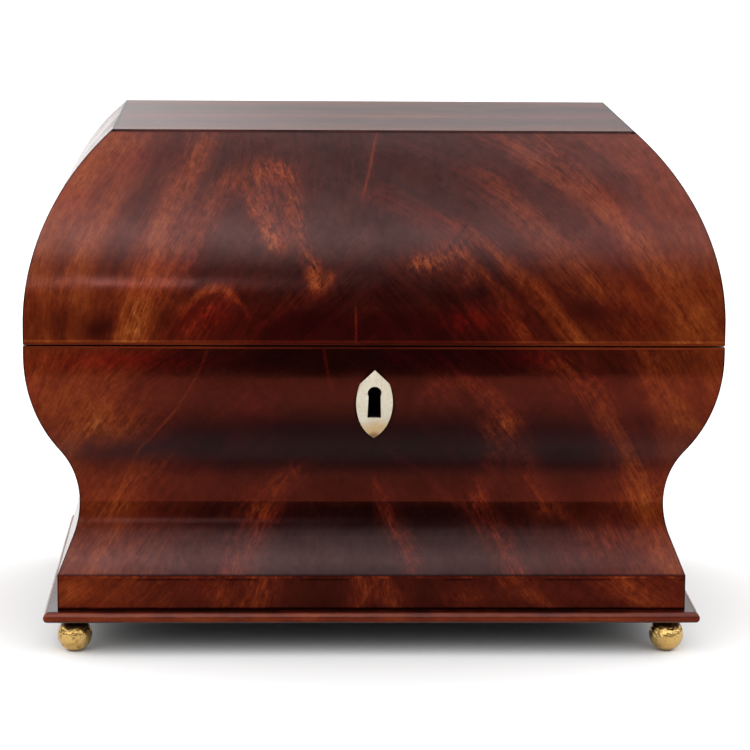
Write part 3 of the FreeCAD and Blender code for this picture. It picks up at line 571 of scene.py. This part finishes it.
def veneer_material(name, figure, face="front", shift=0.0, dirt_and_shade=None, gloss=None):
    """Book-matched flame mahogany under old polish. The figure lists the streaks and patches."""
    material, tree, shader = new_material(name)
    px, py, pz = point_mm(tree)
    x, y = (px, py) if face in ("front", "back") else (py, px)
    wander = noise(tree, combine(tree, px * 0.012, py * 0.012, pz * 0.012 + shift), 1.0, 1.0, 0.4)
    across = x + (wander - 0.5) * 8.0
    factors = grain_course(figure["streaks"], figure["middle"])
    course = grain_field(across, pz, factors, figure["middle"])
    slow = noise(tree, combine(tree, course * 0.09, pz * 0.016, y * 0.01 + shift), 1.0, 2.0, 0.5)
    fast = noise(tree, combine(tree, course * 0.30, pz * 0.045, y * 0.01 + shift), 1.0, 4.0, 0.68)
    hair = noise(tree, combine(tree, course * 1.05, pz * 0.16, y * 0.02 + shift), 1.0, 4.0, 0.75)
    mottle = noise(tree, combine(tree, px * 0.30, py * 0.30, pz * 0.22 + shift), 1.0, 4.0, 0.7, 0.3)
    stir = noise(tree, combine(tree, px * 0.055, py * 0.055, pz * 0.055 + shift), 1.0, 3.0, 0.6)
    jag = across + (fast - 0.5) * 4.0 + (stir - 0.5) * 7.0
    rise = pz + (stir - 0.5) * 6.0

    tone = base_tone(tree, across, figure["base"])
    fibre = fast.step(0.3, 0.7) * 0.35 + hair.step(0.35, 0.65) * 0.35 + mottle.step(0.35, 0.65) * 0.35 + 0.45
    red = None
    for mark in figure["streaks"] + figure["marks"]:
        thin = isinstance(mark, Streak) and mark.width < 1.5
        shape = mark.shape(x + (stir - 0.5) * 2.0, pz) if thin else mark.shape(jag, rise)
        if not thin:
            shape = shape * fibre * streak_share
        if mark.strength:
            tone = shape.do("MULTIPLY_ADD", mark.strength, tone)
        if mark.red:
            red = shape * mark.red if red is None else shape.do("MULTIPLY_ADD", mark.red, red)
    if figure["crotch"]:
        plume = None
        for mark in figure["crotch"]:
            shape = mark.shape(jag, rise) * mark.strength
            plume = shape if plume is None else plume + shape
        lean = across + pz * 0.42
        speck = noise(tree, combine(tree, px * 0.8, py * 0.8, pz * 0.5), 1.0, 2.0, 0.7)
        flecks = noise(tree, combine(tree, lean * 0.42, pz * 0.20, y * 0.1), 1.0, 6.0, 0.72, 0.6)
        fronds = noise(tree, combine(tree, lean * 0.75, pz * 0.10, y * 0.1 + 5.0), 1.0, 4.0, 0.7, 0.3)
        ragged = flecks.step(0.36, 0.62) * 1.1 + fronds.step(0.4, 0.62) * 0.45
        plume = (plume * (ragged + speck.step(0.35, 0.7) * 0.4)).do("MINIMUM", 1.0)
        tone = plume.do("MULTIPLY_ADD", 0.42, tone)
    lively = tone.step(0.02, 0.34) * 0.55 + 0.45
    tone = tone + ((slow - 0.5) * 0.22 + (fast - 0.5) * 0.24 + (hair - 0.5) * 0.30
                   + (mottle - 0.5) * 0.22 + (stir - 0.5) * 0.12) * lively

    pores = noise(tree, combine(tree, course * 3.2, pz * 0.32, y * 0.1), 1.0, 1.0, 0.5).step(0.64, 0.72)
    tone = tone - pores * 0.05 * lively
    if face != "top":
        mitre = ((px.do("ABSOLUTE") - py.do("ABSOLUTE")) - 51.0).do("ABSOLUTE").step(0.9, 0.2)
        tone = tone - mitre * 0.25
    sheen = (mottle - 0.5) * 0.5 + (stir - 0.5) * 0.6 + 0.90
    if gloss:
        sheen = sheen * gloss(pz)
    # Dark joints, dirt and pale wear from the given function, and on the plinth also painted shade, shift the tone
    # and the gloss.
    if dirt_and_shade:
        crust_and_shade = dirt_and_shade(tree, px, py, pz)
        tone = tone - crust_and_shade
        sheen = sheen * (1.0 - crust_and_shade * 2.6).do("MAXIMUM", 0.0)
    brown = ramp(tree, tone, veneer_colours)
    haze = noise(tree, combine(tree, px * 0.02, py * 0.02, pz * 0.03 + 7.0), 1.0, 3.0, 0.6)
    redness = haze.step(0.48, 0.75) * 0.3
    if red is not None:
        redness = (redness + red).do("MINIMUM", 1.0)
    colour = mix(tree, redness, brown, ramp(tree, tone, crimson_colours))
    tree.links.new(colour, shader.inputs["Base Color"])

    swell = noise(tree, combine(tree, px * 0.022, py * 0.022, pz * 0.03), 1.0, 2.0, 0.4)
    ripple = noise(tree, combine(tree, px * 0.10, py * 0.10, pz * 0.28), 1.0, 3.0, 0.55)
    relief = swell * 0.12 + ripple * 0.016 + hair * 0.003 - pores * 0.004
    bump(tree, shader, relief, 0.001)
    wear = noise(tree, combine(tree, px * 0.05, py * 0.05, pz * 0.05), 1.0, 5.0, 0.65)
    rough = wear.step(0.3, 0.75) * 0.08 + (polish_roughness - 0.03) + pores * 0.1
    tree.links.new(rough.socket, shader.inputs["Roughness"])
    polish(tree, shader, sheen)
    return material


def ragged(tree, px, pz):
    return (noise(tree, combine(tree, px * 0.25, 0.0, pz * 0.5), 1.0, 3.0, 0.7) - 0.5) * 0.8


def plinth_dirt_and_shade(tree, px, py, pz):
    """A dark joint at the top of the plinth, painted shade along its foot against the base moulding, and an upper
    edge that is rubbed and cracked.
    """
    height = pz + ragged(tree, px, pz)
    rubbed = noise(tree, combine(tree, px * 0.06, py * 0.06, 2.0), 1.0, 4.0, 0.7).step(0.46, 0.60)
    cracked = noise(tree, combine(tree, px * 0.045, py * 0.045, 9.0), 1.0, 3.0, 0.7).step(0.50, 0.56)
    edge = height.bell(plinth_top - 0.9, 0.45) * rubbed * -0.24
    crack = height.bell(plinth_top - 2.1, 0.30) * cracked * 0.22
    # The first term darkens the joint at the top of the plinth; the second is painted shade along its foot, where
    # it meets the base moulding.
    joints_and_shade = height.step(plinth_top - 0.5, plinth_top - 0.1) * 0.16 + height.step(base_top + 1.6, base_top) * 0.4
    return joints_and_shade + edge + crack


def body_dirt(tree, px, py, pz):
    """Dirt over the plinth and round the escutcheon."""
    height = pz + ragged(tree, px, pz)
    up = pz - escutcheon_middle
    width = 9.3 - (up * up) * 0.024
    shield = (px.do("ABSOLUTE") - width).step(0.9, -0.1) * up.do("ABSOLUTE").step(18.5, 17.0)
    return height.step(plinth_top + 1.0, plinth_top + 0.3) * 0.15 + shield * py.step(-60.0, -61.0) * 0.22


def top_dirt(tree, px, py, pz):
    """Dark line round the edge of the top."""
    return (px.do("ABSOLUTE").step(top_half_x - 1.4, top_half_x - 0.5)
            + py.do("ABSOLUTE").step(top_half_y - 1.4, top_half_y - 0.5)) * 0.3


def lid_wear(tree, px, py, pz):
    """Dark top edge, and a pale worn edge along the rim."""
    height = pz + ragged(tree, px, pz) * 0.5
    return height.step(lid_top - 1.6, lid_top - 0.4) * 0.3 - pz.bell(lid_rim + 1.7, 0.55) * 0.16


def foot_polish(pz):
    """The polish is thin on the foot, but for a band across its middle."""
    return pz.step(66.0, 73.0) * 0.55 + pz.bell(45.5, 6.5) * 0.55 + 0.45


def plinth_polish(pz):
    return pz.bell(30.5, 5.0) * 0.15 + 0.40


def plinth_material():
    figure = {
        "middle": 30.0,
        "base": [(-160, 0.36), (-125, 0.38), (-90, 0.24), (-30, 0.15), (30, 0.16), (100, 0.18), (160, 0.30)],
        "streaks": [Streak([(-60, 37), (-64, 30), (-67, 24)], 3.0, 0.02),
                    Streak([(60, 37), (66, 30), (72, 24)], 3.0, 0.02)],
        "marks": plinth_band,
        "crotch": [],
    }
    return veneer_material("mahogany_veneer_plinth", figure, shift=3.0, dirt_and_shade=plinth_dirt_and_shade, gloss=plinth_polish)


def plain_leaf(middle, lean, tone, seed):
    """Quieter figure for the sides, back and top."""
    run = lean * 40.0
    streaks = [Streak([(at + run, middle + 40), (at, middle), (at - run, middle - 40)], width, change)
               for at, width, change in ((-72, 6.0, 0.16), (-34, 4.0, -0.12), (-6, 5.0, 0.16),
                                         (30, 7.0, -0.12), (66, 5.0, 0.14))]
    return {"middle": middle, "base": [(-165, tone), (0, tone - 0.04), (165, tone)],
            "streaks": streaks, "marks": [], "crotch": []}


def timber(name, run, colours, tone=0.5, roughness=0.3, coarse=0.25, shade=None, glossy=True,
           level=0.35, pitch=0.45):
    """Plain sawn and polished wood with its grain along one axis: 0, 1 or 2."""
    material, tree, shader = new_material(name)
    point = point_mm(tree)
    slow_place = [v * (0.006 if axis == run else 0.12) for axis, v in enumerate(point)]
    fine_place = [v * (0.03 if axis == run else pitch) for axis, v in enumerate(point)]
    hair_place = [v * (0.10 if axis == run else pitch * 4.0) for axis, v in enumerate(point)]
    slow = noise(tree, combine(tree, *slow_place), 1.0, 3.0, 0.55, 0.4)
    fine = noise(tree, combine(tree, *fine_place), 1.0, 4.0, 0.65, 0.2)
    hair = noise(tree, combine(tree, *hair_place), 1.0, 2.0, 0.6)
    blot = noise(tree, combine(tree, *[v * 0.03 for v in point]), 1.0, 4.0, 0.65)
    pores = hair.step(0.62, 0.72)
    value = (slow - 0.5) * coarse + (fine - 0.5) * coarse + (hair - 0.5) * 0.08 + (blot - 0.5) * 0.12
    value = value + tone - pores * 0.05
    if shade:
        value = value + shade(tree, *point)
    tree.links.new(ramp(tree, value, colours), shader.inputs["Base Color"])
    rough = blot.step(0.3, 0.7) * 0.10 + (roughness - 0.05) + pores * 0.12
    tree.links.new(rough.socket, shader.inputs["Roughness"])
    bump(tree, shader, fine * 0.06 + blot * 0.10 - pores * 0.02, 0.001)
    if glossy:
        polish(tree, shader)
    else:
        shader.inputs["Specular IOR Level"].default_value = level
    return material


def moulding_shade_and_blotches(tree, px, py, pz):
    """Painted shade on the flat top against the plinth and on the underside, a lighter lower half of the nose, and
    blotches in the wood.
    """
    node = tree.nodes.new("ShaderNodeTexCoord")
    upward = separate(tree, node.outputs["Normal"])[2]
    blotch = noise(tree, combine(tree, px * 0.055, py * 0.055, pz * 0.16), 1.0, 4.0, 0.6)
    nose = upward.step(0.10, -0.25) * 0.07
    # Faces that point straight up (the flat top) or down (under the nose) are darkened: painted shade.
    return (upward.step(0.80, 0.97) + upward.step(-0.55, -0.9)) * -0.26 + nose + (blotch - 0.5) * 0.62


def rim_wear_and_sheen(tree, px, py, pz):
    """The edge is lighter towards both ends of the front: rubbed wear and painted sheen."""
    return px.do("ABSOLUTE").step(10.0, 110.0) * 0.22


def metal(name, bright, dull, tarnish=0.5, roughness=0.3, dent=0.05, shade=None, scratch=True):
    """Old metal: bright where it is rubbed, dull and rougher where it isn't."""
    material, tree, shader = new_material(name)
    x, y, z = point_mm(tree)
    cloud = noise(tree, combine(tree, x * 0.16, y * 0.16, z * 0.16), 1.0, 6.0, 0.7, 0.5)
    spots = noise(tree, combine(tree, x * 0.9, y * 0.9, z * 0.9), 1.0, 3.0, 0.6)
    lines = noise(tree, combine(tree, x * 0.35, y * 0.35, z * 6.0), 1.0, 2.0, 0.6)
    old = cloud.step(0.62 - tarnish * 0.35, 0.80 - tarnish * 0.25) * 0.75 + spots.step(0.6, 0.72) * 0.35
    if shade:
        old = old + shade(tree, x, y, z)
    old = old.do("MINIMUM", 1.0).do("MAXIMUM", 0.0)
    tree.links.new(mix(tree, old, bright, dull), shader.inputs["Base Color"])
    rough = old * 0.28 + lines * 0.06 + (roughness - 0.03)
    tree.links.new(rough.socket, shader.inputs["Roughness"])
    shader.inputs["Metallic"].default_value = 1.0
    bump(tree, shader, cloud * dent + spots * (dent * 0.35) + (lines * 0.006 if scratch else 0.0), 0.001)
    return material


def foot_metal():
    """Cast brass balls: shallow dents, brown tarnish, and painted shade on the top under the base and on the
    bottom over the floor.
    """
    material, tree, shader = new_material("brass_feet")
    x, y, z = point_mm(tree)
    dents = noise(tree, combine(tree, x * 0.20, y * 0.20, z * 0.22), 1.0, 2.0, 0.45)
    cloud = noise(tree, combine(tree, x * 0.30, y * 0.30, z * 0.30 + 4.0), 1.0, 4.0, 0.6)
    specks = noise(tree, combine(tree, x * 1.6, y * 1.6, z * 1.6), 1.0, 2.0, 0.6)
    old = cloud.step(0.50, 0.68) * 0.65 + specks.step(0.60, 0.80) * 0.18
    # Painted shade: a dark top tucked under the base, and a darker bottom for the shaded floor that it reflects.
    painted_shade = (z + (cloud - 0.5) * 6.0).step(10.8, 14.6) + z.step(2.6, 0.6) * 0.4
    shade = mix(tree, old.do("MINIMUM", 1.0), tint(206, 170, 104), tint(134, 92, 40))
    # Near-black brown of the painted shade.
    shade = mix(tree, (painted_shade * 0.92).do("MINIMUM", 1.0), shade, tint(44, 22, 10))
    tree.links.new(shade, shader.inputs["Base Color"])
    tree.links.new((old * 0.2 + painted_shade * 0.2 + 0.22).socket, shader.inputs["Roughness"])
    shader.inputs["Metallic"].default_value = 1.0
    bump(tree, shader, dents * 1.3 + cloud * 0.07, 0.001)
    return material


def lock_keyhole_shade(tree, x, y, z):
    """Painted shade: inside the keyhole the lock is made black."""
    return (x * x + (z - 124.0) * (z - 124.0) * 0.35).step(70.0, 40.0)


def keyhole_wall_shade(tree, x, y, z):
    """Painted shade on the pine wall inside the keyhole."""
    return (x * x + (z - 124.0) * (z - 124.0) * 0.35).step(70.0, 40.0) * -1.0


def bone_material():
    material, tree, shader = new_material("bone")
    x, y, z = point_mm(tree)
    cloud = noise(tree, combine(tree, x * 0.09, y * 0.09, z * 0.07), 1.0, 4.0, 0.6)
    flow = noise(tree, combine(tree, x * 1.4, y * 1.4, z * 0.12), 1.0, 3.0, 0.6)
    pits = noise(tree, combine(tree, x * 3.2, y * 3.2, z * 0.45), 1.0, 1.0, 0.5).step(0.68, 0.74)
    outside = y.step(-90.0, -92.0)
    low = (z + (cloud - 0.5) * 9.0).step(118.0, 111.0) * outside
    stain = (z + (cloud - 0.5) * 3.0 + x.do("ABSOLUTE") * 0.35).step(111.5, 108.2) * outside
    up = z - escutcheon_middle
    rim = (x.do("ABSOLUTE") - (9.0 - (up * up) * 0.023)).step(-0.8, 0.4) * outside
    base = ramp(tree, flow * 0.5 + cloud * 0.5, [(0.3, tint(210, 196, 168)), (0.5, tint(224, 214, 192)),
                                                 (0.7, tint(234, 227, 212))])
    shade = mix(tree, low * 0.80, base, tint(208, 166, 104))
    shade = mix(tree, stain * 0.85 + rim * 0.3, shade, tint(128, 78, 34))
    shade = mix(tree, pits * 0.5, shade, tint(140, 108, 70))
    tree.links.new(shade, shader.inputs["Base Color"])
    tree.links.new((cloud * 0.15 + 0.28 + pits * 0.2).socket, shader.inputs["Roughness"])
    shader.inputs["Specular IOR Level"].default_value = 0.45
    shader.inputs["Subsurface Weight"].default_value = 0.08
    shader.inputs["Subsurface Radius"].default_value = (0.0012, 0.0009, 0.0006)
    bump(tree, shader, flow * 0.03 + cloud * 0.12 - pits * 0.03, 0.001)
    return material


def foil_material():
    """Lead foil pressed against the wood, creased and dulled."""
    material, tree, shader = new_material("tea_foil")
    x, y, z = point_mm(tree)
    place = combine(tree, x * 0.07, y * 0.07, z * 0.07)
    crease = (noise(tree, place, 1.0, 5.0, 0.6, 1.2) - 0.5).do("ABSOLUTE").step(0.10, 0.0)
    fine = (noise(tree, place, 3.4, 4.0, 0.6, 0.8) - 0.5).do("ABSOLUTE").step(0.12, 0.0)
    bloom = noise(tree, place, 0.8, 5.0, 0.65)
    shade = ramp(tree, bloom, [(0.3, tint(150, 149, 145)), (0.5, tint(178, 176, 171)), (0.7, tint(200, 198, 192))])
    tree.links.new(mix(tree, crease * 0.3, shade, tint(78, 76, 74)), shader.inputs["Base Color"])
    tree.links.new((bloom * 0.3 + 0.34).socket, shader.inputs["Roughness"])
    shader.inputs["Metallic"].default_value = 0.7
    bump(tree, shader, crease * 0.35 + fine * 0.12 + bloom * 0.3, 0.001)
    return material


def paper_material():
    """Faded paper with fibres and fox marks."""
    material, tree, shader = new_material("lining_paper")
    x, y, z = point_mm(tree)
    fibres = noise(tree, combine(tree, x * 1.2, y * 1.2, z * 1.2), 1.0, 4.0, 0.7, 0.6)
    blot = noise(tree, combine(tree, x * 0.02, y * 0.02, z * 0.02), 1.0, 5.0, 0.65)
    fox = noise(tree, combine(tree, x * 0.16, y * 0.16, z * 0.16), 1.0, 3.0, 0.6).step(0.66, 0.74)
    shade = ramp(tree, blot * 0.6 + fibres * 0.4, [(0.35, tint(110, 34, 40)), (0.5, tint(134, 50, 52)),
                                                   (0.65, tint(156, 74, 70))])
    tree.links.new(mix(tree, fox * 0.5, shade, tint(96, 58, 36)), shader.inputs["Base Color"])
    tree.links.new((fibres * 0.12 + 0.76).socket, shader.inputs["Roughness"])
    shader.inputs["Specular IOR Level"].default_value = 0.2
    bump(tree, shader, fibres * 0.05 + blot * 0.2, 0.001)
    return material


def glass_material():
    """Old hand-made glass: faintly grey-green, with slow waves and rubbed patches."""
    material, tree, shader = new_material("clear_glass")
    x, y, z = point_mm(tree)
    wave = noise(tree, combine(tree, x * 0.05, y * 0.05, z * 0.09), 1.0, 2.0, 0.4)
    rub = noise(tree, combine(tree, x * 0.25, y * 0.25, z * 0.25), 1.0, 4.0, 0.6)
    tree.links.new(ramp(tree, wave, [(0.3, (0.93, 0.965, 0.95)), (0.7, (0.975, 0.99, 0.98))]),
                   shader.inputs["Base Color"])
    tree.links.new((rub.step(0.45, 0.8) * 0.05 + 0.01).socket, shader.inputs["Roughness"])
    shader.inputs["Transmission Weight"].default_value = 1.0
    shader.inputs["IOR"].default_value = 1.5
    bump(tree, shader, wave * 0.25, 0.001)
    return material


make_camera()
make_world()
make_floor()
make_card()

veneers = {
    "body_veneer_front_left": veneer_material("mahogany_veneer_body_left", body_left, dirt_and_shade=body_dirt, gloss=foot_polish),
    "body_veneer_front_right": veneer_material("mahogany_veneer_body_right", body_right, dirt_and_shade=body_dirt, gloss=foot_polish),
    "lid_veneer_front_left": veneer_material("mahogany_veneer_lid_left", lid_left, dirt_and_shade=lid_wear),
    "lid_veneer_front_right": veneer_material("mahogany_veneer_lid_right", lid_right, dirt_and_shade=lid_wear),
    "body_veneer_left": veneer_material("mahogany_veneer_body_side", plain_leaf(95, 0.5, 0.4, 1), "side", 11.0),
    "lid_veneer_left": veneer_material("mahogany_veneer_lid_side", plain_leaf(200, 0.5, 0.42, 2), "side", 17.0),
    "body_veneer_back": veneer_material("mahogany_veneer_body_back", plain_leaf(95, 0.4, 0.36, 3), "back", 23.0),
    "lid_veneer_back": veneer_material("mahogany_veneer_lid_back", plain_leaf(200, 0.4, 0.38, 4), "back", 29.0),
    "lid_veneer_top": veneer_material("mahogany_veneer_top", plain_leaf(250, 0.4, 0.36, 5), "top", 31.0, top_dirt),
    "plinth_veneer": plinth_material(),
}
veneers["body_veneer_right"] = veneers["body_veneer_left"]
veneers["lid_veneer_right"] = veneers["lid_veneer_left"]
pine_colours = [
    # The darkest stop is for the painted shade inside the keyhole.
    (0.00, tint(16, 10, 7)),
    (0.16, tint(112, 74, 38)),
    (0.35, tint(164, 118, 68)),
    (0.60, tint(196, 154, 98)),
    (1.00, tint(218, 184, 132)),
]
stained_colours = [
    (0.00, tint(12, 9, 8)),
    (0.50, tint(30, 23, 20)),
    (1.00, tint(58, 44, 36)),
]
bright_brass, dull_brass = tint(206, 164, 92), tint(112, 76, 34)
moulding_side = timber("mahogany_side", 1, veneer_colours, 0.41, 0.2, 0.22, moulding_shade_and_blotches)
moulding_front = timber("mahogany", 0, veneer_colours, 0.41, 0.2, 0.22, moulding_shade_and_blotches)
inner_board = timber("mahogany_boards", 1, veneer_colours, 0.45, 0.24, 0.3)
collar = timber("mahogany_collar", 0, veneer_colours, 0.45, 0.24, 0.3)
facing = timber("mahogany_facing", 0, veneer_colours, 0.20, 0.25, 0.3, rim_wear_and_sheen)
ball_brass = foot_metal()
# The near-black dull colour is tarnish on the lock, and also the painted shade inside the keyhole.
lock_brass = metal("brass_lock", tint(176, 136, 76), tint(10, 8, 6), 0.5, 0.4, 0.05, lock_keyhole_shade)
finishes = {
    "mahogany": inner_board,
    "pine": timber("pine", 0, pine_colours, 0.5, 0.6, 0.5, glossy=False, pitch=0.3),
    "brass": metal("brass", bright_brass, dull_brass, 0.4, 0.28),
    "spring_steel": metal("spring_steel", tint(150, 150, 152), tint(78, 72, 70), 0.5, 0.35),
    "bone": bone_material(),
    "tea_foil": foil_material(),
    "lining_paper": paper_material(),
    "clear_glass": glass_material(),
}
own_finish = {
    "base_board": timber("pine_stained", 0, stained_colours, 0.45, 0.6, 0.4, glossy=False, level=0.15),
    "base_moulding_front": moulding_front,
    "base_moulding_back": moulding_front,
    "base_moulding_left": moulding_side,
    "base_moulding_right": moulding_side,
    "body_rim_facing": facing,
    "lid_rim_facing": facing,
    "collar_board": collar,
    "body_wall_front": timber("pine_keyhole", 0, pine_colours, 0.5, 0.6, 0.5, keyhole_wall_shade, False, pitch=0.3),
    "lock_case": lock_brass,
    "lock_bolt": lock_brass,
}
pine_end = timber("pine_end", 1, pine_colours, 0.5, 0.6, 0.5, glossy=False, pitch=0.3)
for name in ("body_wall_left", "body_wall_right", "lid_wall_left", "lid_wall_right"):
    own_finish[name] = pine_end
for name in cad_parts:
    if name.startswith("ball_foot"):
        own_finish[name] = ball_brass
for name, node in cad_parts.items():
    for place, held in enumerate(node.material_slots):
        slot_name = held.material.name.split(".")[0]
        finish = veneers.get(name) or own_finish.get(name) or finishes.get(slot_name)
        if finish:
            node.material_slots[place].material = finish
